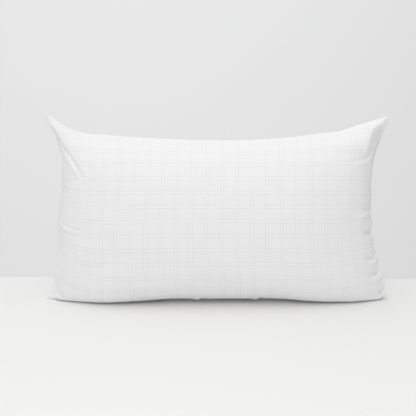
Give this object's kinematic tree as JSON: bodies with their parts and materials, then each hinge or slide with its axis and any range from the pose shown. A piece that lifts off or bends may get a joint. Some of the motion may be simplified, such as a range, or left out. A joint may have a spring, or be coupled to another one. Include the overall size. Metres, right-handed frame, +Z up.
{
  "type": "bed pillow",
  "caption": "King-size bed pillow standing on its long edge: a white woven windowpane-check cover, zipped at one end, over a fibre-filled inner pillow.",
  "frame": {"origin": "bottom centre of the bounding box, on the surface that the pillow stands on", "axes": "+X along the pillow's long edge, with the zipped end at -X; +Y out of the pillow's back, towards which it leans 8 degrees; +Z up"},
  "size_m": [0.908, 0.2246, 0.487],
  "materials": {
    "check_cotton": "satin",
    "ticking_cotton": "matte",
    "fibre": "matte",
    "label_satin": "satin",
    "zip_tape": "matte",
    "zip_nylon": "satin",
    "zip_enamel": "gloss"
  },
  "bodies": {
    "pillow": {"cover_front": "check_cotton", "cover_back": "check_cotton", "inner_pillow_front": "ticking_cotton", "inner_pillow_back": "ticking_cotton", "fibre_fill": "fibre", "care_label": "label_satin", "zip_tape_front": "zip_tape", "zip_tape_back": "zip_tape", "zip_coil_front": "zip_nylon", "zip_coil_back": "zip_nylon", "zip_top_stop_front": "zip_enamel", "zip_top_stop_back": "zip_enamel", "zip_bottom_stop": "zip_enamel"},
    "slider": {"zip_slider": "zip_enamel"},
    "pull_tab": {"zip_pull_tab": "zip_enamel"}
  },
  "joints": [
    {"name": "slider_travel", "type": "slide", "parent": "pillow", "child": "slider", "axis": [0, -0.1392, -0.9903], "range_m": [0, 0.317]},
    {"name": "pull_tab_swing", "type": "hinge", "parent": "slider", "child": "pull_tab", "pos_m": [-0.4112, 0.02617, 0.3976], "axis": [0, 0.9903, -0.1392], "range_deg": [0, 150]}
  ]
}
